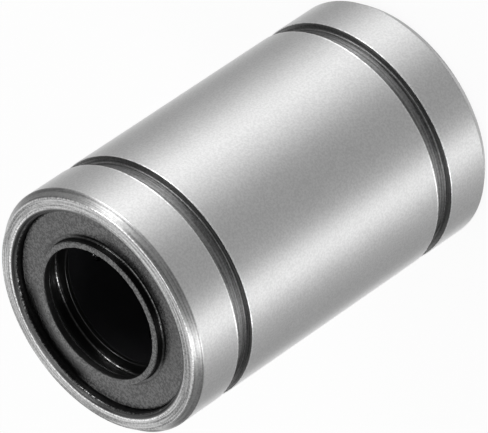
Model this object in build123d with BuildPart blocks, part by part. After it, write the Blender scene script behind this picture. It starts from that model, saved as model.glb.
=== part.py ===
"""Linear ball bearing for an 8 mm shaft, 15 mm across and 24 mm long, sealed at both ends.

The bearing stands on its bottom end face. +Z is the shaft axis, and the origin is the
centre of that face. A hardened sleeve holds a moulded retainer with several closed ball
circuits. In each circuit one row of balls is loaded between the shaft and the raceway,
and comes back through a return row, round a half-circle turn at each end. A split ring
in the sleeve's bore holds the retainer at each end, and a rubber seal closes the end.
"""

import os
from math import atan2, degrees, hypot, pi, radians, sin

from build123d import *

os.makedirs("parts", exist_ok=True)

# Sizes of the bearing as a whole, in millimetres
shaft_diameter = 8.0
sleeve_wall = 1.88  # from the raceway to the outside, which makes the sleeve 15 mm across
sleeve_length = 24.0

# Outer retaining ring grooves, turned in the outside of the sleeve
ring_groove_span = 17.5  # from the outer wall of one groove to the outer wall of the other
ring_groove_width = 1.1
ring_groove_depth = 0.45
outer_chamfer_height = 0.5
outer_chamfer_depth = 0.42
inner_chamfer = 0.2
edge_round = 0.12  # where the outer chamfer blends into the ground outside

# Balls and their circuits
ball_diameter = 1.588
ball_play = 0.016  # between a loaded ball and the shaft, and between it and the raceway
ball_gap = 0.038  # between the two balls that are in a turn
track_clearance = 0.036  # between a ball and the retainer
return_clearance = 0.034  # between a returning ball and the sleeve
circuit_count = 4
balls_in_turn = 2
turn_wall = 0.7  # retainer left beyond the end of a circuit
raceway_ramp = 0.55  # length over which the raceway opens out at each end

# Retainer
retainer_bore_clearance = 0.2  # over the shaft, each side
retainer_clearance = 0.11  # inside the raceway, each side
nose_step = 0.45  # the nose is this much smaller in radius than the body
nose_chamfer = 0.08
pocket_depth = 0.35
pocket_width = 2.0
pocket_end_wall = 1.6
pocket_corner = 0.6

# End seals
seal_recess = 0.58  # depth of the seal's flat face below the end of the sleeve
seal_back = 2.1  # depth of the seal's inner face
seal_corner = 0.14
seat_step = 0.05  # the seal's seat is this much larger in radius than the end bore
seal_clearance = 0.01
lip_recess = 0.08
lip_clearance = 0.01
lip_land = 0.35
lip_wall = 0.39
lip_root_radius = 0.1
lip_edge_radius = 0.06
grease_room = 0.84  # the space behind the lip is this much larger in radius than the shaft
grease_room_land = 0.2  # height of the upright wall at the back of that space
grease_room_corner = 0.1
seal_flange_thickness = 0.24
seal_flange_clearance = 0.13  # over the shaft, each side
seal_flange_round = 0.05

# Inner split rings, which hold the retainer
snap_ring_thickness = 0.65
snap_ring_bite = 0.33  # depth of the ring in its groove
snap_ring_nose_clearance = 0.13  # between the ring and the nose of the retainer
snap_ring_side_clearance = 0.03
snap_ring_floor_clearance = 0.04
snap_ring_gap_angle = 42.0
snap_ring_corner = 0.25

# Radii and heights that follow from the sizes above
shaft_radius = shaft_diameter / 2
ball_radius = ball_diameter / 2
middle = sleeve_length / 2

loaded_row_radius = shaft_radius + ball_play + ball_radius
raceway_radius = loaded_row_radius + ball_radius + ball_play
sleeve_radius = raceway_radius + sleeve_wall
turn_radius = (ball_diameter + ball_gap) / (2 * sin(pi / (2 * balls_in_turn)))
ball_pitch = pi * turn_radius / balls_in_turn
return_row_radius = hypot(loaded_row_radius, 2 * turn_radius)
return_row_angle = degrees(atan2(2 * turn_radius, loaded_row_radius))
track_radius = ball_radius + track_clearance
return_groove_radius = ball_radius + return_clearance
end_bore_radius = return_row_radius + return_groove_radius

seat_radius = end_bore_radius + seat_step
snap_groove_top = seal_back + snap_ring_side_clearance
snap_groove_bottom = snap_groove_top + snap_ring_thickness + 2 * snap_ring_side_clearance
snap_ring_radius = seat_radius + snap_ring_bite

retainer_radius = raceway_radius - retainer_clearance
nose_radius = retainer_radius - nose_step
retainer_bore_radius = shaft_radius + retainer_bore_clearance
retainer_end = seal_back + snap_ring_side_clearance
retainer_shoulder = snap_groove_bottom + snap_ring_side_clearance

circuit_room = sleeve_length - 2 * (retainer_shoulder + turn_wall + track_radius + turn_radius)
balls_in_row = int(circuit_room / ball_pitch)
row_length = balls_in_row * ball_pitch
raceway_half_length = row_length / 2

circuit_step = 360 / circuit_count
circuit_angles = [index * circuit_step for index in range(circuit_count)]


def upright_plane(height):
    """A plane through the shaft axis, with its origin on the axis at this height."""
    return Plane(origin=(0, 0, height), x_dir=(1, 0, 0), z_dir=(0, -1, 0))


def circuit_plane(angle, along=0.0, across=0.0):
    """The flat plane that one ball circuit lies in.

    It touches the loaded row and faces outwards. Its origin is on the loaded row at the
    middle of the bearing, moved by across towards the return row and by along upwards.
    """
    facing = Plane.XZ.rotated((0, 0, angle + 90))
    outward = facing.z_dir
    start = outward * loaded_row_radius + facing.x_dir * across
    return Plane(origin=(start.X, start.Y, middle + along), x_dir=facing.x_dir, z_dir=outward)


# The sleeve is turned and ground: its section is half a profile, mirrored about the middle
groove_outer_wall = ring_groove_span / 2
groove_inner_wall = groove_outer_wall - ring_groove_width
groove_floor_radius = sleeve_radius - ring_groove_depth

with BuildPart() as outer_sleeve:
    with BuildSketch(upright_plane(middle)):
        with BuildLine():
            Polyline(
                (raceway_radius, 0),
                (raceway_radius, raceway_half_length),
                (end_bore_radius, raceway_half_length + raceway_ramp),
                (end_bore_radius, middle - retainer_shoulder),
                (seat_radius, middle - retainer_shoulder),
                (seat_radius, middle - snap_groove_bottom),
                (snap_ring_radius + snap_ring_floor_clearance, middle - snap_groove_bottom),
                (snap_ring_radius + snap_ring_floor_clearance, middle - snap_groove_top),
                (seat_radius, middle - snap_groove_top),
                (seat_radius, middle - inner_chamfer),
                (seat_radius + inner_chamfer, middle),
                (sleeve_radius - outer_chamfer_depth, middle),
                (sleeve_radius, middle - outer_chamfer_height),
                (sleeve_radius, groove_outer_wall),
                (groove_floor_radius, groove_outer_wall),
                (groove_floor_radius, groove_inner_wall),
                (sleeve_radius, groove_inner_wall),
                (sleeve_radius, 0),
            )
            mirror(about=Plane.XZ)
        make_face()
    revolve(axis=Axis.Z)

    # The two round edges where the end chamfers meet the ground outside
    chamfer_edges = (
        outer_sleeve.edges()
        .filter_by(GeomType.CIRCLE)
        .filter_by(lambda edge: abs(edge.radius - sleeve_radius) < 1e-3)
        .sort_by(Axis.Z)
    )
    fillet([chamfer_edges[0], chamfer_edges[-1]], radius=edge_round)

    # Return grooves, broached between the loaded lands
    with Locations((0, 0, middle)):
        with PolarLocations(return_row_radius, circuit_count, start_angle=return_row_angle):
            Cylinder(return_groove_radius, row_length + 2 * raceway_ramp, mode=Mode.SUBTRACT)

# The space that one circuit of balls runs in: round at the bottom, open to the sleeve
with BuildPart() as ball_track:
    with BuildSketch(circuit_plane(0, across=turn_radius)):
        SlotCenterToCenter(row_length, 2 * (turn_radius + track_radius), rotation=90)
        SlotCenterToCenter(
            row_length, 2 * (turn_radius - track_radius), rotation=90, mode=Mode.SUBTRACT
        )
    extrude(amount=end_bore_radius - loaded_row_radius)
    with BuildLine(circuit_plane(0)) as circuit_line:
        loaded_run = Line((0, -row_length / 2), (0, row_length / 2))
        top_turn = CenterArc((turn_radius, row_length / 2), turn_radius, 180, -180)
        return_run = Line(top_turn @ 1, (2 * turn_radius, -row_length / 2))
        CenterArc((turn_radius, -row_length / 2), turn_radius, 0, -180)
    with BuildSketch(Plane(origin=loaded_run @ 0, z_dir=loaded_run % 0)):
        Circle(track_radius)
    sweep(path=circuit_line.wire())

# The retainer is one moulding: a tube with a small nose at each end and a track a circuit
with BuildPart() as ball_retainer:
    with BuildSketch(upright_plane(middle)):
        with BuildLine():
            Polyline(
                (retainer_bore_radius, 0),
                (retainer_bore_radius, middle - retainer_end - nose_chamfer),
                (retainer_bore_radius + nose_chamfer, middle - retainer_end),
                (nose_radius - nose_chamfer, middle - retainer_end),
                (nose_radius, middle - retainer_end - nose_chamfer),
                (nose_radius, middle - retainer_shoulder),
                (retainer_radius, middle - retainer_shoulder),
                (retainer_radius, 0),
            )
            mirror(about=Plane.XZ)
        make_face()
    revolve(axis=Axis.Z)
    with PolarLocations(0, circuit_count):
        add(ball_track.part, mode=Mode.SUBTRACT)

    # Shallow grease pockets in the outside, half way between one circuit and the next
    pocket_length = sleeve_length - 2 * (retainer_shoulder + pocket_end_wall)
    pocket_floor = retainer_radius - pocket_depth
    circuit_centre_angle = degrees(atan2(turn_radius, loaded_row_radius))
    for angle in circuit_angles:
        pocket_angle = angle + circuit_centre_angle + circuit_step / 2
        pocket_facing = Plane.XZ.rotated((0, 0, pocket_angle + 90))
        outward = pocket_facing.z_dir
        pocket_plane = Plane(
            origin=(outward.X * pocket_floor, outward.Y * pocket_floor, middle),
            x_dir=pocket_facing.x_dir,
            z_dir=outward,
        )
        with BuildSketch(pocket_plane):
            RectangleRounded(pocket_width, pocket_length, pocket_corner)
        extrude(amount=2 * pocket_depth, mode=Mode.SUBTRACT)


def build_seal():
    """A moulded rubber seal at the bottom end.

    Its wiping lip stands on a raised ring. A space for grease widens behind the lip, and
    ends at a thin flange that lies on the nose of the retainer.
    """
    outer_radius = seat_radius - seal_clearance
    lip_radius = shaft_radius + lip_clearance
    grease_room_radius = shaft_radius + grease_room
    grease_room_floor = seal_back - seal_flange_thickness
    flange_radius = shaft_radius + seal_flange_clearance
    with BuildPart() as seal:
        with BuildSketch(upright_plane(0)) as section:
            with BuildLine():
                Polyline(
                    (lip_radius, lip_recess),
                    (lip_radius, lip_recess + lip_land),
                    (grease_room_radius, grease_room_floor - grease_room_land),
                    (grease_room_radius, grease_room_floor),
                    (flange_radius, grease_room_floor),
                    (flange_radius, seal_back),
                    (outer_radius, seal_back),
                    (outer_radius, seal_recess),
                    (lip_radius + lip_wall, seal_recess),
                    (lip_radius + lip_wall, lip_recess),
                    close=True,
                )
            make_face()
            for corner, rounding in (
                ((outer_radius, seal_recess), seal_corner),
                ((lip_radius + lip_wall, seal_recess), lip_root_radius),
                ((lip_radius + lip_wall, lip_recess), lip_edge_radius),
                ((lip_radius, lip_recess), lip_edge_radius),
                ((grease_room_radius, grease_room_floor), grease_room_corner),
                ((flange_radius, grease_room_floor), seal_flange_round),
            ):
                fillet(section.vertices().sort_by_distance(corner)[0], radius=rounding)
        revolve(axis=Axis.Z)
    return seal.part


bottom_seal = build_seal()
top_seal = mirror(bottom_seal, about=Plane.XY.offset(middle))


def build_snap_ring():
    """A flat split ring in the groove at the bottom end."""
    ring_inner_radius = nose_radius + snap_ring_nose_clearance
    with BuildPart() as ring:
        with BuildSketch(Plane.XY.offset(snap_groove_top + snap_ring_side_clearance)) as outline:
            Circle(snap_ring_radius)
            Circle(ring_inner_radius, mode=Mode.SUBTRACT)
            with BuildLine():
                opening = snap_ring_gap_angle / 2
                reach = 2 * snap_ring_radius
                Polyline(
                    (0, 0),
                    (reach, reach * sin(radians(-opening))),
                    (reach, reach * sin(radians(opening))),
                    close=True,
                )
            make_face(mode=Mode.SUBTRACT)
            fillet(outline.vertices(), radius=snap_ring_corner)
        extrude(amount=snap_ring_thickness)
    return ring.part


bottom_snap_ring = build_snap_ring()
top_snap_ring = mirror(bottom_snap_ring, about=Plane.XY.offset(middle))


def build_ball_row(plane):
    """The balls on one straight run of a circuit, spaced along the shaft axis."""
    with BuildPart(plane) as row:
        with GridLocations(0, ball_pitch, 1, balls_in_row):
            Sphere(ball_radius)
    return row.part


def build_ball_turn(plane, first_angle):
    """The balls in one half-circle turn, half a pitch clear of the straight runs."""
    with BuildPart(plane) as turn:
        step = 180 / balls_in_turn
        for index in range(balls_in_turn):
            with PolarLocations(turn_radius, 1, start_angle=first_angle + step * (index + 0.5)):
                Sphere(ball_radius)
    return turn.part


pieces = {
    "outer_sleeve": outer_sleeve.part,
    "ball_retainer": ball_retainer.part,
    "bottom_seal": bottom_seal,
    "top_seal": top_seal,
    "bottom_snap_ring": bottom_snap_ring,
    "top_snap_ring": top_snap_ring,
}
half_row = row_length / 2
for number, angle in enumerate(circuit_angles, start=1):
    loaded_plane = circuit_plane(angle)
    return_plane = circuit_plane(angle, across=2 * turn_radius)
    top_turn_plane = circuit_plane(angle, along=half_row, across=turn_radius)
    bottom_turn_plane = circuit_plane(angle, along=-half_row, across=turn_radius)
    pieces[f"loaded_balls_{number}"] = build_ball_row(loaded_plane)
    pieces[f"return_balls_{number}"] = build_ball_row(return_plane)
    pieces[f"top_turn_balls_{number}"] = build_ball_turn(top_turn_plane, 0)
    pieces[f"bottom_turn_balls_{number}"] = build_ball_turn(bottom_turn_plane, 180)

for name, piece in pieces.items():
    piece.label = name
    export_step(piece, f"parts/{name}.step")

print(f"balls in a row {balls_in_row}, ball pitch {ball_pitch:.4f}, turn radius {turn_radius:.4f}")
print(f"row length {row_length:.4f}, return row at radius {return_row_radius:.4f}")
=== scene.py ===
"""Looks of a sealed linear ball bearing that stands on its end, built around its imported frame."""

from math import atan2, cos, pi, radians, sin

import bpy
import numpy as np
from mathutils import Matrix, Vector


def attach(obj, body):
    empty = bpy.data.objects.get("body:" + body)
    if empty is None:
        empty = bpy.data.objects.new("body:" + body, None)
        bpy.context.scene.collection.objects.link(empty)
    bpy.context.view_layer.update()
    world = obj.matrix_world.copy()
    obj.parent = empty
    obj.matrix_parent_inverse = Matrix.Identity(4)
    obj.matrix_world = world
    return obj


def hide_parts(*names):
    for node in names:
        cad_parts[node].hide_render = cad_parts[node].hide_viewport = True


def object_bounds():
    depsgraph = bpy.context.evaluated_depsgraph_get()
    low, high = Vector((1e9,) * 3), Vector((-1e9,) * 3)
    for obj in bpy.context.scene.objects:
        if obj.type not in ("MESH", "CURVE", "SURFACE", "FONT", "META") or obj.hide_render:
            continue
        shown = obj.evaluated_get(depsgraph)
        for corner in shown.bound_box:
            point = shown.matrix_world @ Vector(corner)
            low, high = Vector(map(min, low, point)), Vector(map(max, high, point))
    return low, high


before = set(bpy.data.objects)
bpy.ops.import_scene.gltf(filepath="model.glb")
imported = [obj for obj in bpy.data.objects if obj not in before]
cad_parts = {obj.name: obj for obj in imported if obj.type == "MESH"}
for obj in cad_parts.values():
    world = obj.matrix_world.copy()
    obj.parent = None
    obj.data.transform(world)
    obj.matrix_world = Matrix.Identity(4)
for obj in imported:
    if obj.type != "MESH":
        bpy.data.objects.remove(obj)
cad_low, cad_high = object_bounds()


# Camera
# It looks down at the top end of the standing bearing through a long lens, and is rolled
# until the bearing lies across the picture with its top end at the lower left.

MM = 0.001  # a millimetre, in metres

view_azimuth = radians(53)  # between two ball circuits
view_elevation = radians(35.501)
view_roll = radians(-124.044)
view_distance = 415.818 * MM
sensor_width = 36.0
lens_length = 563.98  # in millimetres, as the sensor's width is
end_face_right, end_face_up = -8.013 * MM, -5.336 * MM  # from the lens axis, in the picture

level_back = Vector((sin(view_azimuth), -cos(view_azimuth), 0))
level_right = Vector((cos(view_azimuth), sin(view_azimuth), 0))
look_back = level_back * cos(view_elevation) + Vector((0, 0, sin(view_elevation)))
level_up = Vector((0, 0, cos(view_elevation))) - level_back * sin(view_elevation)
view_right = cos(view_roll) * level_right + sin(view_roll) * level_up
view_up = look_back.cross(view_right)

camera_data = bpy.data.cameras.new("camera")
camera_data.lens = lens_length
camera_data.sensor_width = sensor_width
camera_data.clip_start, camera_data.clip_end = 0.01, 20.0
camera = bpy.data.objects.new("camera", camera_data)
top_centre = Vector((0, 0, cad_high.z))
camera.location = (
    top_centre + look_back * view_distance - view_right * end_face_right - view_up * end_face_up
)
camera.rotation_mode = "QUATERNION"
camera.rotation_quaternion = Matrix((view_right, view_up, look_back)).transposed().to_quaternion()
bpy.context.scene.collection.objects.link(camera)
bpy.context.scene.camera = camera
bpy.context.scene.view_settings.view_transform = "Standard"


# Studio
# A round room with a soft light box on the camera's right and another on its left, a pale
# wall behind each, a third wall across the room, and a pale patch of ceiling. The lens sees
# the room and the floor as white, and the floor keeps the bearing's shadow.


def add_node(tree, kind, inputs=None, **settings):
    """A new node in the tree, with its settings and the values or links of its inputs."""
    made = tree.nodes.new(kind)
    for key, value in settings.items():
        setattr(made, key, value)
    for key, value in (inputs or {}).items():
        if isinstance(value, bpy.types.NodeSocket):
            tree.links.new(value, made.inputs[key])
        else:
            made.inputs[key].default_value = value
    return made


def calc(tree, operation, *values):
    """The result of one Math node on sockets or plain numbers."""
    return add_node(tree, "ShaderNodeMath", dict(enumerate(values)), operation=operation).outputs[0]


def both(tree, first, *others):
    """The product of masks or numbers, which is on only where all of them are."""
    for other in others:
        first = calc(tree, "MULTIPLY", first, other)
    return first


def smooth_range(tree, value, low, high, to_low=0.0, to_high=1.0):
    """A value carried smoothly from one range to another, and held at its ends."""
    inputs = {"Value": value, "From Min": low, "From Max": high, "To Min": to_low, "To Max": to_high}
    return add_node(
        tree, "ShaderNodeMapRange", inputs, interpolation_type="SMOOTHERSTEP"
    ).outputs["Result"]


room = bpy.data.worlds.new("studio_room")
room.use_nodes = True
tree = room.node_tree
tree.nodes.clear()
direction = add_node(tree, "ShaderNodeTexCoord").outputs["Generated"]
ray = add_node(tree, "ShaderNodeSeparateXYZ", {"Vector": direction}).outputs
rise = ray["Z"]  # the sine of the angle above the horizon
facing = calc(tree, "ARCTAN2", ray["X"], calc(tree, "MULTIPLY", ray["Y"], -1.0))
facing = calc(tree, "SUBTRACT", facing, view_azimuth)


def turn_from(tree, turn):
    """The turn from a place on the wall, which is given in degrees to the camera's right."""
    return calc(tree, "WRAP", calc(tree, "SUBTRACT", facing, radians(turn)), pi, -pi)


def light_box(tree, turn, half_width, brightness, soft_side=6):
    """An even light box that stands on the ground and ends half way up."""
    away = calc(tree, "ABSOLUTE", turn_from(tree, turn))
    near, far = radians(half_width - soft_side), radians(half_width + soft_side)
    across = smooth_range(tree, away, near, far, brightness, 0.0)
    above = smooth_range(tree, rise, -0.46, -0.30)
    below = smooth_range(tree, rise, 0.44, 0.60, 1.0, 0.0)
    return both(tree, across, above, below)


def pale_wall(tree, turn, reach_left, reach_right, low_brightness, high_brightness):
    """A wall that falls off softly to its two sides, and is dimmer high up than low down."""
    away = turn_from(tree, turn)
    rising = smooth_range(tree, away, radians(-reach_left), 0.0)
    falling = smooth_range(tree, away, 0.0, radians(reach_right), 1.0, 0.0)
    upward = smooth_range(tree, rise, -0.35, 0.35, low_brightness, high_brightness)
    return both(tree, rising, falling, upward)


even_glow = smooth_range(tree, rise, -0.5, 0.6, 0.375, 0.25)
right_box = light_box(tree, turn=62, half_width=13.4, brightness=5.0)
left_box = light_box(tree, turn=-67.5, half_width=8.8, brightness=5.0)
right_wall = pale_wall(tree, 51, 44, 80, low_brightness=0.54, high_brightness=0.18)
left_wall = pale_wall(tree, -60, 25, 25, low_brightness=0.95, high_brightness=0.46)
far_wall = pale_wall(tree, -168, 67, 29, low_brightness=1.05, high_brightness=0.72)
ceiling = smooth_range(tree, rise, 0.80, 0.95, 0.0, 1.7)
glow = even_glow
for source in (right_box, left_box, right_wall, left_wall, far_wall, ceiling):
    glow = calc(tree, "ADD", glow, source)
glow = both(tree, glow, smooth_range(tree, rise, -0.975, -0.995, 1.0, 0.15))  # under the stand

white = (1, 1, 1, 1)
lit_room = add_node(tree, "ShaderNodeBackground", {"Color": white, "Strength": glow}).outputs[0]
white_room = add_node(tree, "ShaderNodeBackground", {"Color": white, "Strength": 1.0}).outputs[0]
to_eye = add_node(tree, "ShaderNodeLightPath").outputs["Is Camera Ray"]
mixed = add_node(tree, "ShaderNodeMixShader", {0: to_eye, 1: lit_room, 2: white_room})
add_node(tree, "ShaderNodeOutputWorld", {"Surface": mixed.outputs[0]})
bpy.context.scene.world = room

floor_half = 3.0  # in metres
floor_mesh = bpy.data.meshes.new("floor")
floor_corners = [(-1, -1, 0), (1, -1, 0), (1, 1, 0), (-1, 1, 0)]
floor_mesh.from_pydata([[floor_half * x for x in c] for c in floor_corners], [], [(0, 1, 2, 3)])
floor = bpy.data.objects.new("floor", floor_mesh)
bpy.context.scene.collection.objects.link(floor)
floor.visible_glossy = False
floor.visible_shadow = False
floor_paint = bpy.data.materials.new("pale_floor")
floor_paint.use_nodes = True
tree = floor_paint.node_tree
tree.nodes.clear()
glare_share = 0.92  # what the lens sees of the glare; the rest is the board with the shadow
board = add_node(tree, "ShaderNodeBsdfDiffuse", {"Color": (0.82, 0.82, 0.82, 1)}).outputs[0]
glare = add_node(tree, "ShaderNodeEmission", {"Color": white, "Strength": 1.0}).outputs[0]
to_eye = add_node(tree, "ShaderNodeLightPath").outputs["Is Camera Ray"]
share = calc(tree, "MULTIPLY", to_eye, glare_share)
mixed = add_node(tree, "ShaderNodeMixShader", {0: share, 1: board, 2: glare})
add_node(tree, "ShaderNodeOutputMaterial", {"Surface": mixed.outputs[0]})
floor_mesh.materials.append(floor_paint)


# Outer sleeve
# One piece of hardened bearing steel, turned, then ground satin on the outside. Its end
# faces and chamfers keep the rings of the turning tool, and two ring grooves are cut in it.

sleeve_radius = 7.5 * MM
sleeve_middle = (cad_low.z + cad_high.z) / 2
sleeve_half = (cad_high.z - cad_low.z) / 2
chamfer_height = 0.5 * MM
chamfer_depth = 0.36 * MM
outer_face_radius = sleeve_radius - chamfer_depth
face_outer_blend = 0.05 * MM
chamfer_blend = 0.03 * MM
inner_face_radius = 6.41 * MM
seat_radius = 6.209 * MM
bevel_foot_height = sleeve_half - (inner_face_radius - seat_radius)
bevel_foot_blend = 0.05 * MM
bevel_top_blend = 0.04 * MM
ring_groove_outer = 8.75 * MM  # heights from the middle of the sleeve
ring_groove_inner = 7.65 * MM
ring_groove_floor = 7.05 * MM  # a radius
groove_lip_blend = 0.02 * MM
groove_root_blend = 0.08 * MM
nick_reach = 0.15 * MM
nick_depth = 0.02 * MM
raceway_radius = 5.62 * MM
raceway_half = 6.3211 * MM
raceway_ramp = 0.55 * MM
end_bore_radius = 6.1594 * MM
snap_groove_radius = 6.5794 * MM
snap_groove_near, snap_groove_far = 9.87 * MM, 9.16 * MM
shoulder_height = 9.13 * MM
loaded_row_radius = 4.81 * MM
return_row_aside = 2.2995 * MM  # from the loaded row, across the circuit
return_row_radius = 5.3314 * MM
return_row_turn = atan2(return_row_aside, loaded_row_radius)
return_groove_radius = 0.828 * MM
circuit_turns = [radians(90 * index) for index in range(4)]


def rounded_profile(corners, arc_steps=5, guard=0.02 * MM):
    """A section line through corners (radius, height, rounding).

    Each corner with a rounding becomes an arc that touches both of its straight runs, at
    rounding / tan(half the opening) from the corner. A guard point follows each arc on the
    straight run, so that smooth shading stays flat there. A sharp corner gets guards too.
    """
    flat = [np.array(c[:2]) for c in corners]
    line = []
    for index, corner in enumerate(corners):
        here = flat[index]
        before = flat[index - 1] - here
        after = flat[(index + 1) % len(flat)] - here
        reach_before, reach_after = np.linalg.norm(before), np.linalg.norm(after)
        before, after = before / reach_before, after / reach_after
        opening = np.arccos(np.clip(before @ after, -1, 1))
        rounding = corner[2] if len(corner) > 2 else 0.0
        reach = rounding / np.tan(opening / 2)
        near = min(guard, 0.2 * reach_before, 0.2 * reach_after)
        line.append(here + before * (reach + near))
        if rounding:
            bisector = (before + after) / np.linalg.norm(before + after)
            centre = here + bisector * rounding / np.sin(opening / 2)
            first = here + before * reach - centre
            last = here + after * reach - centre
            steps = np.linspace(0, 1, arc_steps + 1)[:, None]
            sweep = np.arccos(np.clip(first @ last / rounding**2, -1, 1))
            weights = np.sin((1 - steps) * sweep), np.sin(steps * sweep)
            line.extend(centre + (weights[0] * first + weights[1] * last) / np.sin(sweep))
        else:
            line.append(here)
        line.append(here + after * (reach + near))
    return np.array(line)


def turned_mesh(name, radius, height, turns):
    """A closed surface turned about the shaft axis.

    Point (i, j) stands at height[i] and at radius[i, j] from the axis, in direction
    turns[j]. The section closes on itself, and so does the turn, so each cell of the
    grid is one four-sided face.
    """
    rows, columns = radius.shape
    points = np.empty((rows, columns, 3))
    points[..., 0] = radius * np.cos(turns)
    points[..., 1] = radius * np.sin(turns)
    points[..., 2] = height[:, None]
    row, column = np.meshgrid(np.arange(rows), np.arange(columns), indexing="ij")
    next_row, next_column = (row + 1) % rows, (column + 1) % columns
    corners = [
        row * columns + column,
        row * columns + next_column,
        next_row * columns + next_column,
        next_row * columns + column,
    ]
    cells = np.stack(corners, axis=-1).reshape(-1, 4)
    middle = radius.mean(axis=1)
    area = np.sum(middle * np.roll(height, -1) - np.roll(middle, -1) * height)
    if area < 0:
        cells = cells[:, ::-1]
    mesh = bpy.data.meshes.new(name)
    mesh.from_pydata(points.reshape(-1, 3).tolist(), [], cells.tolist())
    mesh.polygons.foreach_set("use_smooth", np.ones(len(cells), bool))
    mesh.update()
    return mesh


def place_piece(name, mesh, body, slot, material, *nodes):
    """Puts a finished mesh in the scene, on its body, in place of the plain solids."""
    piece = bpy.data.objects.new(name, mesh)
    bpy.context.scene.collection.objects.link(piece)
    mesh.materials.append(material)
    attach(piece, body)
    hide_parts(*nodes)


def both_ends(upper_half):
    """A whole section from its upper half, whose first and last corners end the run."""
    lower_half = [(c[0], -c[1], *c[2:]) for c in reversed(upper_half)]
    return upper_half + lower_half


sleeve_corners = both_ends(
    [
        (raceway_radius, raceway_half),
        (end_bore_radius, raceway_half + raceway_ramp),
        (end_bore_radius, shoulder_height),
        (seat_radius, shoulder_height),
        (seat_radius, snap_groove_far),
        (snap_groove_radius, snap_groove_far, groove_root_blend),
        (snap_groove_radius, snap_groove_near, groove_root_blend),
        (seat_radius, snap_groove_near),
        (seat_radius, bevel_foot_height, bevel_foot_blend),
        (inner_face_radius, sleeve_half, bevel_top_blend),
        (outer_face_radius, sleeve_half, face_outer_blend),
        (sleeve_radius, sleeve_half - chamfer_height, chamfer_blend),
        (sleeve_radius, ring_groove_outer + nick_reach),
        (sleeve_radius, ring_groove_outer, groove_lip_blend),
        (ring_groove_floor, ring_groove_outer, groove_root_blend),
        (ring_groove_floor, ring_groove_inner, groove_root_blend),
        (sleeve_radius, ring_groove_inner, groove_lip_blend),
        (sleeve_radius, ring_groove_inner - nick_reach),
    ]
)
section = rounded_profile(sleeve_corners)
turns = np.linspace(0, 2 * pi, 480, endpoint=False)
sleeve_radii = np.repeat(section[:, :1], len(turns), axis=1)

# Seen from the axis, a return groove's far wall is at d cos(a) + sqrt(g^2 - d^2 sin^2(a)),
# where d is the return row's radius, g the groove's, and a the angle from the row.
in_bore = section[:, 0] < end_bore_radius + 0.001 * MM
for circuit_turn in circuit_turns:
    aside = turns - circuit_turn - return_row_turn
    spread = return_groove_radius**2 - (return_row_radius * np.sin(aside)) ** 2
    wall = return_row_radius * np.cos(aside) + np.sqrt(np.maximum(spread, 0))
    wall = np.where((spread > 0) & (np.cos(aside) > 0), wall, 0)
    sleeve_radii[in_bore] = np.maximum(sleeve_radii[in_bore], wall)

# The lips of the ring grooves are nicked: each drawn depth falls off like a bell with the
# distance from the edge.
rng = np.random.default_rng(5)
for end_sign in (-1, 1):
    for edge_height in (ring_groove_outer, ring_groove_inner):
        from_edge = np.hypot(section[:, 0] - sleeve_radius, section[:, 1] - end_sign * edge_height)
        falloff = np.exp(-((from_edge / (nick_reach / 3)) ** 2))
        nicks = nick_depth * rng.uniform(0, 1, len(turns)) ** 3
        sleeve_radii -= falloff[:, None] * nicks


def new_group(name, inputs, outputs):
    """An empty shader group with named sockets, and its input and output nodes."""
    group = bpy.data.node_groups.new(name, "ShaderNodeTree")
    for label, kind, value in inputs:
        socket = group.interface.new_socket(label, in_out="INPUT", socket_type=kind)
        socket.default_value = value
    for label, kind in outputs:
        group.interface.new_socket(label, in_out="OUTPUT", socket_type=kind)
    return group, group.nodes.new("NodeGroupInput").outputs, group.nodes.new("NodeGroupOutput")


def millimetres(tree):
    """The place on the piece, counted in millimetres."""
    place = add_node(tree, "ShaderNodeTexCoord").outputs["Object"]
    inputs = {0: place, "Scale": 1 / MM}
    return add_node(tree, "ShaderNodeVectorMath", inputs, operation="SCALE").outputs[0]


def use_group(tree, group, **values):
    """One group placed in a material, with its own values."""
    made = add_node(tree, "ShaderNodeGroup", node_tree=group)
    for key, value in values.items():
        made.inputs[key.replace("_", " ").capitalize()].default_value = value
    return made.outputs


# Grain of ground or moulded surfaces: fine specks, and slower cloudy variation
grain_group, given, result = new_group(
    "surface_grain",
    [("Specks per mm", "NodeSocketFloat", 10.0), ("Clouds per mm", "NodeSocketFloat", 0.5)],
    [("Specks", "NodeSocketFloat"), ("Clouds", "NodeSocketFloat")],
)
place = millimetres(grain_group)
for label, detail in (("Specks", 3.0), ("Clouds", 2.0)):
    scale = given[label + " per mm"]
    inputs = {"Vector": place, "Scale": scale, "Detail": detail, "Roughness": 0.6}
    speckle = add_node(grain_group, "ShaderNodeTexNoise", inputs)
    grain_group.links.new(speckle.outputs[0], result.inputs[label])

# Marks left by a cutting tool: short streaks that run round the axis, with the distance from
# the axis and the height from the middle of the piece, both in millimetres, as further outputs
marks_group, given, result = new_group(
    "tool_marks",
    [
        ("Marks per mm", "NodeSocketFloat", 8.0),
        ("Streaks per turn", "NodeSocketFloat", 40.0),
        ("Middle", "NodeSocketFloat", 0.0),
    ],
    [("Marks", "NodeSocketFloat"), ("Off axis", "NodeSocketFloat"), ("Height", "NodeSocketFloat")],
)
axes = add_node(marks_group, "ShaderNodeSeparateXYZ", {"Vector": millimetres(marks_group)}).outputs
squares = [calc(marks_group, "MULTIPLY", axes[k], axes[k]) for k in ("X", "Y")]
off_axis = calc(marks_group, "SQRT", calc(marks_group, "ADD", *squares))
height = calc(marks_group, "ABSOLUTE", calc(marks_group, "SUBTRACT", axes["Z"], given["Middle"]))
per_radian = calc(marks_group, "MULTIPLY", given["Streaks per turn"], 1 / (2 * pi))
stretch = calc(marks_group, "DIVIDE", per_radian, off_axis)
spread = {
    "X": calc(marks_group, "MULTIPLY", axes["X"], stretch),
    "Y": calc(marks_group, "MULTIPLY", axes["Y"], stretch),
    "Z": calc(marks_group, "MULTIPLY", off_axis, given["Marks per mm"]),
}
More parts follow.
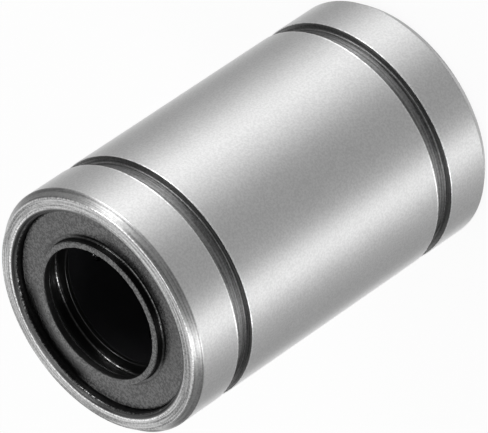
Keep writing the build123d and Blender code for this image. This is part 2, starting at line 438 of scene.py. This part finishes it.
inputs = {
    "Vector": add_node(marks_group, "ShaderNodeCombineXYZ", spread).outputs[0],
    "W": calc(marks_group, "MULTIPLY", height, given["Marks per mm"]),
    "Scale": 1.0,
    "Detail": 3.0,
    "Roughness": 0.65,
}
streaks = add_node(marks_group, "ShaderNodeTexNoise", inputs, noise_dimensions="4D")
for label, socket in (("Marks", streaks.outputs[0]), ("Off axis", off_axis), ("Height", height)):
    marks_group.links.new(socket, result.inputs[label])


def new_material(name, metallic):
    """A material with one Principled shader, whose tree and shader are returned too."""
    material = bpy.data.materials.new(name)
    material.use_nodes = True
    shader = material.node_tree.nodes["Principled BSDF"]
    shader.inputs["Metallic"].default_value = metallic
    return material, material.node_tree, shader


def relief(tree, shader, *layers):
    """Small relief from layers of (height mask, depth in millimetres), one on the other."""
    normal = None
    for height, depth in layers:
        bump = add_node(tree, "ShaderNodeBump", {"Height": height, "Strength": 1.0})
        bump.inputs["Distance"].default_value = depth * MM
        if normal:
            tree.links.new(normal, bump.inputs["Normal"])
        normal = bump.outputs[0]
    tree.links.new(normal, shader.inputs["Normal"])


def colour_mix(tree, mask, low, high):
    """A colour between two, each of them a socket, a colour or one number for a grey."""
    inputs = {0: mask}
    for key, end in ((6, low), (7, high)):  # the node's two colour sockets
        if isinstance(end, float):
            end = (end, end, end)
        inputs[key] = end if isinstance(end, bpy.types.NodeSocket) else (*end, 1)
    return add_node(tree, "ShaderNodeMix", inputs, data_type="RGBA").outputs[2]


def value_mix(tree, mask, low, high):
    """A number between two numbers or sockets."""
    return add_node(tree, "ShaderNodeMix", {0: mask, 2: low, 3: high}, data_type="FLOAT").outputs[0]


def either(tree, first, *others):
    """The greatest of masks, which is on where any of them is."""
    for other in others:
        first = calc(tree, "MAXIMUM", first, other)
    return first


def beyond(tree, length, border, blur):
    """On where a length in millimetres passes a border, blurred by so much to both sides."""
    return smooth_range(tree, length, (border - blur) / MM, (border + blur) / MM)


def short_of(tree, length, border, blur):
    """On where a length in millimetres is short of a border, blurred to both sides."""
    return smooth_range(tree, length, (border + blur) / MM, (border - blur) / MM)


def near_edge(tree, tool, radius, height, reach):
    """On at a turned edge at a radius and height, and fading over its reach."""
    across = calc(tree, "SUBTRACT", tool["Off axis"], radius / MM)
    along = calc(tree, "SUBTRACT", tool["Height"], height / MM)
    away = add_node(tree, "ShaderNodeCombineXYZ", {"X": across, "Y": along}).outputs[0]
    away = add_node(tree, "ShaderNodeVectorMath", {0: away}, operation="LENGTH").outputs["Value"]
    return smooth_range(tree, away, 0.4 * reach / MM, reach / MM, 1.0, 0.0)


def toward(tree, tool, turn=0):
    """One on the side that a turn in degrees takes from the camera's, and minus one opposite."""
    azimuth = view_azimuth - pi / 2 + radians(turn)
    inputs = {0: millimetres(tree), 1: (cos(azimuth), sin(azimuth), 0)}
    along = add_node(tree, "ShaderNodeVectorMath", inputs, operation="DOT_PRODUCT")
    return calc(tree, "DIVIDE", along.outputs["Value"], tool["Off axis"])


# The sleeve's steel has three finishes: ground on the outside, turned on the end faces and
# chamfers, and dark from hardening where nothing was ground, in the ring grooves and the bore.
sleeve_steel, tree, shader = new_material("sleeve_steel", 1.0)
grain = use_group(tree, grain_group, specks_per_mm=8.0, clouds_per_mm=0.45)
tool = use_group(
    tree, marks_group, marks_per_mm=9.0, streaks_per_turn=9.0, middle=sleeve_middle / MM
)
off_axis, height = tool["Off axis"], tool["Height"]
specks = smooth_range(tree, grain["Specks"], 0.3, 0.7)
marks = smooth_range(tree, tool["Marks"], 0.35, 0.65)
mottled = value_mix(tree, 0.35, marks, specks)

at_end = beyond(tree, height, sleeve_half - chamfer_height, 0.06 * MM)
on_chamfer = beyond(tree, off_axis, outer_face_radius + 0.015 * MM, 0.025 * MM)
on_bevel = beyond(tree, off_axis, seat_radius + 0.031 * MM, 0.02 * MM)
in_seat = short_of(tree, off_axis, inner_face_radius + 0.055 * MM, 0.025 * MM)
below_land = short_of(tree, off_axis, sleeve_radius - 0.035 * MM, 0.015 * MM)
clear_of_end = short_of(tree, height, ring_groove_outer + 0.6 * MM, 0.05 * MM)
in_groove = both(tree, below_land, clear_of_end)
groove_middle = (ring_groove_outer + ring_groove_inner) / 2
groove_half = (ring_groove_outer - ring_groove_inner) / 2
off_groove = calc(tree, "ABSOLUTE", calc(tree, "SUBTRACT", height, groove_middle / MM))
on_groove_wall = beyond(tree, off_groove, groove_half - 0.03 * MM, 0.02 * MM)
unground = either(tree, in_seat, in_groove)

# Painted highlights: bright lines are painted on the sharp edges, the face's outer edge on the
# camera's side, its inner edge on the other side, and the lips of the ring grooves all round.
painted_edge_highlight = either(
    tree,
    both(
        tree,
        near_edge(tree, tool, outer_face_radius, sleeve_half, 0.07 * MM),
        smooth_range(tree, toward(tree, tool), -0.3, 0.5, 0.1, 0.7),
    ),
    both(
        tree,
        near_edge(tree, tool, inner_face_radius + 0.12 * MM, sleeve_half, 0.08 * MM),
        smooth_range(tree, toward(tree, tool), -0.4, 0.4, 1.0, 0.1),
    ),
    both(tree, near_edge(tree, tool, sleeve_radius, ring_groove_outer + 0.03 * MM, 0.10 * MM), 0.5),
    both(tree, near_edge(tree, tool, sleeve_radius, ring_groove_inner - 0.05 * MM, 0.08 * MM), 0.5),
)
painted_edge_highlight = both(tree, painted_edge_highlight, smooth_range(tree, grain["Specks"], 0.38, 0.6, 0.25, 1.0))

# One side of the chamfer, set by its bearing from the camera, is rougher and painted darker as
# shade.
rough_and_shaded_side = both(tree, on_chamfer, smooth_range(tree, toward(tree, tool, -125), 0.90, 0.985))

ground = colour_mix(tree, specks, 0.62, 0.72)
turned = colour_mix(tree, mottled, 0.13, 0.69)
chamfered = colour_mix(tree, mottled, 0.20, 0.49)
# painted shade on one side of the chamfer, where it is also rougher
chamfered = colour_mix(tree, rough_and_shaded_side, chamfered, 0.16)
turned = colour_mix(tree, on_chamfer, turned, chamfered)
grooved = colour_mix(tree, mottled, 0.09, 0.31)
grooved = colour_mix(tree, on_groove_wall, grooved, colour_mix(tree, mottled, 0.12, 0.38))
hardened = colour_mix(tree, mottled, (0.015, 0.015, 0.016), 0.07)
hardened = colour_mix(tree, on_bevel, hardened, colour_mix(tree, marks, 0.05, 0.20))
finish = colour_mix(tree, at_end, ground, turned)
finish = colour_mix(tree, in_groove, finish, grooved)
finish = colour_mix(tree, in_seat, finish, hardened)
# painted highlight along the sharp edges
finish = colour_mix(tree, painted_edge_highlight, finish, 0.95)
tree.links.new(finish, shader.inputs["Base Color"])

ground_rough = smooth_range(tree, grain["Clouds"], 0.3, 0.7, 0.352, 0.368)
turned_rough = value_mix(tree, on_chamfer, 0.36, 0.33)
rough = value_mix(tree, at_end, ground_rough, turned_rough)
rough = value_mix(tree, unground, rough, 0.42)
rough = value_mix(tree, rough_and_shaded_side, rough, 0.85)
tree.links.new(rough, shader.inputs["Roughness"])

# Relief: a small burr at the ring grooves' lips, the tool's rings, and the specks
burr = either(
    tree,
    near_edge(tree, tool, sleeve_radius, ring_groove_outer, 0.12 * MM),
    near_edge(tree, tool, sleeve_radius, ring_groove_inner, 0.12 * MM),
)
mark_depth = value_mix(tree, either(tree, at_end, unground), 0.05, 1.0)
mark_depth = value_mix(tree, on_chamfer, mark_depth, both(tree, mark_depth, 0.3))
speck_depth = value_mix(tree, at_end, 0.2, value_mix(tree, on_chamfer, 0.5, 0.3))
relief(
    tree,
    shader,
    (burr, 0.009),
    (both(tree, tool["Marks"], mark_depth), 0.016),
    (both(tree, grain["Specks"], speck_depth), 0.015),
)

# A little oil shines in the corner under the bevel.
wet = near_edge(tree, tool, seat_radius, bevel_foot_height, 0.12 * MM)
wet = both(tree, wet, smooth_range(tree, grain["Specks"], 0.45, 0.60))
tree.links.new(wet, shader.inputs["Coat Weight"])
shader.inputs["Coat IOR"].default_value = 3.0
shader.inputs["Coat Roughness"].default_value = 0.05

sleeve_mesh = turned_mesh("sleeve", sleeve_radii, section[:, 1] + sleeve_middle, turns)
place_piece("sleeve", sleeve_mesh, "bearing", "sleeve", sleeve_steel, "outer_sleeve")


# Ball retainer
# One moulding of dark plastic that carries every ball circuit, with its bore open along the
# loaded rows. It slides in from one end, and the inner split rings keep it there.


def shade(tree, shader, dark, light, mask, rough_low, rough_high, rough_mask):
    """Colour between dark and light by one mask, and roughness between two by another."""
    tree.links.new(colour_mix(tree, mask, dark, light), shader.inputs["Base Color"])
    roughness = smooth_range(tree, rough_mask, 0.3, 0.7, rough_low, rough_high)
    tree.links.new(roughness, shader.inputs["Roughness"])


def finish_node(node, material):
    """Gives a solid that stays as it is its own material."""
    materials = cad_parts[node].data.materials
    materials.clear()
    materials.append(material)


retainer_plastic, tree, shader = new_material("retainer_plastic", 0.0)
shader.inputs["Specular IOR Level"].default_value = 0.2
grain = use_group(tree, grain_group, specks_per_mm=12.0, clouds_per_mm=0.8)
black, charcoal = (0.008, 0.008, 0.009), (0.018, 0.018, 0.020)
shade(tree, shader, black, charcoal, grain["Clouds"], 0.42, 0.56, grain["Specks"])
relief(tree, shader, (grain["Specks"], 0.003))
finish_node("ball_retainer", retainer_plastic)


# Balls
# Seventy-two ground and polished steel balls, eighteen to a circuit: seven loaded, seven on
# the way back, and two in the turn at each end.

ball_radius = 0.794 * MM
turn_radius = 1.149756 * MM
ball_pitch = pi * turn_radius / 2
balls_in_row = 7
row_half = balls_in_row * ball_pitch / 2


def ball_mesh(name, centres, across=20, around=32):
    """Balls at the centres, each a grid of latitude and longitude.

    A point is the centre plus the radius times (sin p cos q, sin p sin q, cos p), with p
    from pole to pole and q once round. The two poles are one point each.
    """
    fall = np.linspace(0, pi, across + 1)[1:-1]
    turn = np.linspace(0, 2 * pi, around, endpoint=False)
    p, q = np.meshgrid(fall, turn, indexing="ij")
    belt = np.stack([np.sin(p) * np.cos(q), np.sin(p) * np.sin(q), np.cos(p)], axis=-1)
    unit = np.vstack([belt.reshape(-1, 3), [[0, 0, 1], [0, 0, -1]]])
    row, column = np.meshgrid(np.arange(len(fall) - 1), np.arange(around), indexing="ij")
    here, ahead = row * around + column, row * around + (column + 1) % around
    cells = np.stack([here, here + around, ahead + around, ahead], axis=-1).reshape(-1, 4)
    first, after = np.arange(around), (np.arange(around) + 1) % around
    top, last_belt = len(unit) - 2, (len(fall) - 1) * around
    caps = [np.stack([np.full(around, top), first, after], axis=-1)]
    caps.append(np.stack([np.full(around, top + 1), last_belt + after, last_belt + first], axis=-1))
    points = (np.asarray(centres)[:, None, :] + ball_radius * unit[None]).reshape(-1, 3)
    faces = []
    for index in range(len(centres)):
        faces += (cells + index * len(unit)).tolist()
        faces += (np.vstack(caps) + index * len(unit)).tolist()
    mesh = bpy.data.meshes.new(name)
    mesh.from_pydata(points.tolist(), [], faces)
    mesh.polygons.foreach_set("use_smooth", np.ones(len(faces), bool))
    mesh.update()
    return mesh


polished_steel, tree, shader = new_material("polished_steel", 1.0)
grain = use_group(tree, grain_group, specks_per_mm=6.0, clouds_per_mm=1.2)
steel, bright_steel = (0.66, 0.66, 0.67), (0.74, 0.74, 0.75)
shade(tree, shader, steel, bright_steel, grain["Clouds"], 0.07, 0.13, grain["Specks"])
relief(tree, shader, (grain["Specks"], 0.0002))

upright = np.array([0, 0, 1.0])
heights = (np.arange(balls_in_row) - (balls_in_row - 1) / 2) * ball_pitch
for number, circuit_turn in enumerate(circuit_turns, start=1):
    outward = np.array([cos(circuit_turn), sin(circuit_turn), 0.0])
    across_row = np.array([-sin(circuit_turn), cos(circuit_turn), 0.0])
    start = outward * loaded_row_radius + upright * sleeve_middle
    loaded = [start + upright * h for h in heights]
    returning = [start + across_row * 2 * turn_radius + upright * h for h in heights]
    turn_balls = {"top": [], "bottom": []}
    for end, sign in (("top", 1), ("bottom", -1)):
        for angle in (pi / 4, 3 * pi / 4):
            aside = across_row * turn_radius * (1 + cos(angle))
            along = upright * sign * (row_half + turn_radius * sin(angle))
            turn_balls[end].append(start + aside + along)
    for name, centres, body in (
        (f"loaded_balls_{number}", loaded, f"loaded_row_{number}"),
        (f"return_balls_{number}", returning, f"return_row_{number}"),
        (f"top_turn_balls_{number}", turn_balls["top"], f"top_turn_{number}"),
        (f"bottom_turn_balls_{number}", turn_balls["bottom"], f"bottom_turn_{number}"),
    ):
        place_piece("fine_" + name, ball_mesh(name, centres), body, "ball", polished_steel, name)


# Inner split rings
# Flat rings stamped from spring steel, one at each end. Each is squeezed at its gap and
# springs out into a groove in the sleeve, where it holds the retainer in.

spring_steel, tree, shader = new_material("spring_steel", 1.0)
grain = use_group(tree, grain_group, specks_per_mm=14.0, clouds_per_mm=0.7)
dark_steel, grey_steel = (0.20, 0.20, 0.21), (0.34, 0.34, 0.35)
shade(tree, shader, dark_steel, grey_steel, grain["Clouds"], 0.30, 0.48, grain["Specks"])
relief(tree, shader, (grain["Specks"], 0.002))
for node in ("top_snap_ring", "bottom_snap_ring"):
    finish_node(node, spring_steel)


# End seals
# Each is one moulding of black rubber, pressed into the sleeve's end against the split
# ring. Its wiping lip stands up on a raised ring, and is thinned behind to touch the shaft.

lip_radius = 4.01 * MM
lip_wall = 0.39 * MM
lip_outer_radius = lip_radius + lip_wall
lip_height = sleeve_half - 0.08 * MM
lip_edge_blend = 0.06 * MM
lip_root_blend = 0.1 * MM
lip_land = 0.35 * MM
lip_land_blend = 0.03 * MM
seal_face_height = sleeve_half - 0.58 * MM
seal_back_height = sleeve_half - 2.1 * MM
seal_back_blend = 0.02 * MM
seal_outer_radius = 6.199 * MM
seal_rim_blend = 0.14 * MM
grease_room_radius = 4.84 * MM
grease_room_floor = seal_back_height + 0.24 * MM
grease_room_land = 0.2 * MM
grease_room_blend = 0.13 * MM
seal_flange_radius = 4.13 * MM
seal_flange_blend = 0.05 * MM
seal_corners = [
    (lip_radius, lip_height, lip_edge_blend),
    (lip_radius, lip_height - lip_land, lip_land_blend),
    (grease_room_radius, grease_room_floor + grease_room_land, lip_land_blend),
    (grease_room_radius, grease_room_floor, grease_room_blend),
    (seal_flange_radius, grease_room_floor, seal_flange_blend),
    (seal_flange_radius, seal_back_height, seal_back_blend),
    (seal_outer_radius, seal_back_height, seal_back_blend),
    (seal_outer_radius, seal_face_height, seal_rim_blend),
    (lip_outer_radius, seal_face_height, lip_root_blend),
    (lip_outer_radius, lip_height, lip_edge_blend),
]
section = rounded_profile(seal_corners, arc_steps=8)
turns = np.linspace(0, 2 * pi, 384, endpoint=False)
seal_radii = np.repeat(section[:, :1], len(turns), axis=1)

# The wiping edge is a little uneven: r + w |0.8 sin 17 t + 0.7 sin 41 t + 0.7 sin 67 t + d|,
# where d is drawn for each direction, and w falls off like a bell away from the edge.
uneven_depth, uneven_reach = 0.022 * MM, 0.12 * MM
from_edge = np.hypot(section[:, 0] - lip_radius, section[:, 1] - lip_height)
unevenness = uneven_depth * np.exp(-((from_edge / uneven_reach) ** 2))
waves = 0.8 * np.sin(17 * turns) + 0.7 * np.sin(41 * turns + 1.9) + 0.7 * np.sin(67 * turns + 0.7)
waves += rng.uniform(-0.6, 0.6, len(turns))
seal_radii += unevenness[:, None] * np.abs(waves)

# The rubber is a speckled dark grey outside, and painted black in the bore as shade.
seal_rubber, tree, shader = new_material("seal_rubber", 0.0)
shader.inputs["IOR"].default_value = 1.52
grain = use_group(tree, grain_group, specks_per_mm=8.0, clouds_per_mm=0.9)
tool = use_group(tree, marks_group, middle=sleeve_middle / MM)
off_axis, height = tool["Off axis"], tool["Height"]
outside = both(
    tree,
    beyond(tree, height, seal_face_height - 0.095 * MM, 0.075 * MM),
    beyond(tree, off_axis, lip_radius + 0.04 * MM, 0.02 * MM),
)
specks = both(tree, smooth_range(tree, grain["Specks"], 0.42, 0.60), outside)
# painted shade: black wherever the rubber is not on the outside
rubber = colour_mix(tree, outside, 0.0, colour_mix(tree, specks, 0.036, 0.118))

# Painted shade: the lip's side is painted black, and its foot is painted dark on the camera's side,
# where a wider painted shade runs out over the face; on the other side a painted shade lies along
# the rim.
painted_lip_shade = both(
    tree,
    beyond(tree, off_axis, lip_outer_radius - 0.025 * MM, 0.015 * MM),
    short_of(tree, off_axis, lip_outer_radius + 0.25 * MM, 0.07 * MM),
    short_of(tree, height, lip_height - 0.06 * MM, 0.02 * MM),
)
foot = both(
    tree,
    smooth_range(tree, toward(tree, tool, 8), 0.70, 0.95, 0.0, 0.8),
    short_of(tree, off_axis, lip_outer_radius + 0.65 * MM, 0.25 * MM),
)
wide_shade = both(tree, short_of(tree, off_axis, lip_outer_radius + 1.3 * MM, 0.7 * MM), 0.4)
near_shade = both(tree, short_of(tree, off_axis, lip_outer_radius + 0.625 * MM, 0.175 * MM), 0.6)
shade_side = smooth_range(tree, toward(tree, tool, -23), 0.50, 0.95)
foot = either(tree, foot, both(tree, shade_side, either(tree, wide_shade, near_shade)))
foot = both(tree, foot, short_of(tree, height, seal_face_height + 0.255 * MM, 0.075 * MM))
ragged = calc(tree, "MULTIPLY_ADD", grain["Specks"], 1.2, off_axis)
painted_rim_shade = both(
    tree,
    smooth_range(tree, toward(tree, tool, 175), 0.76, 0.93),
    smooth_range(tree, ragged, 5.70, 6.15),
)
# painted shade: the lip's side, its foot and the patch by the rim are painted black
rubber = colour_mix(tree, either(tree, painted_lip_shade, foot, painted_rim_shade), rubber, 0.0)
tree.links.new(rubber, shader.inputs["Base Color"])

# A film of grease shines along the inner edges, in two patches on the far side, and more
# weakly round the foot of the lip.
far_side = toward(tree, tool, 180)
two_patches = both(
    tree,
    smooth_range(tree, far_side, 0.55, 0.75, 0.1, 1.0),
    smooth_range(tree, far_side, 0.91, 0.98, 1.0, 0.12),
)
room_edge = near_edge(tree, tool, grease_room_radius, grease_room_floor, 0.22 * MM)
flange_edge = near_edge(tree, tool, seal_flange_radius, grease_room_floor, 0.15 * MM)
foot_edge = near_edge(tree, tool, lip_outer_radius + 0.08 * MM, seal_face_height, 0.16 * MM)
greasy = both(tree, either(tree, room_edge, both(tree, flange_edge, 0.25)), two_patches)
greasy = either(tree, greasy, both(tree, foot_edge, 0.22))
dotted = both(tree, greasy, smooth_range(tree, grain["Specks"], 0.42, 0.58, 0.1, 1.0))
tree.links.new(dotted, shader.inputs["Coat Weight"])
shader.inputs["Coat IOR"].default_value = 3.6
shader.inputs["Coat Roughness"].default_value = 0.03
rough = value_mix(tree, greasy, value_mix(tree, outside, 0.50, 0.12), 0.05)
tree.links.new(rough, shader.inputs["Roughness"])
relief(tree, shader, (both(tree, grain["Specks"], outside), 0.020))

for name, sign in (("top_seal", 1), ("bottom_seal", -1)):
    seal_mesh = turned_mesh(name, seal_radii, sleeve_middle + sign * section[:, 1], turns)
    place_piece("fine_" + name, seal_mesh, "bearing", "seal", seal_rubber, name)
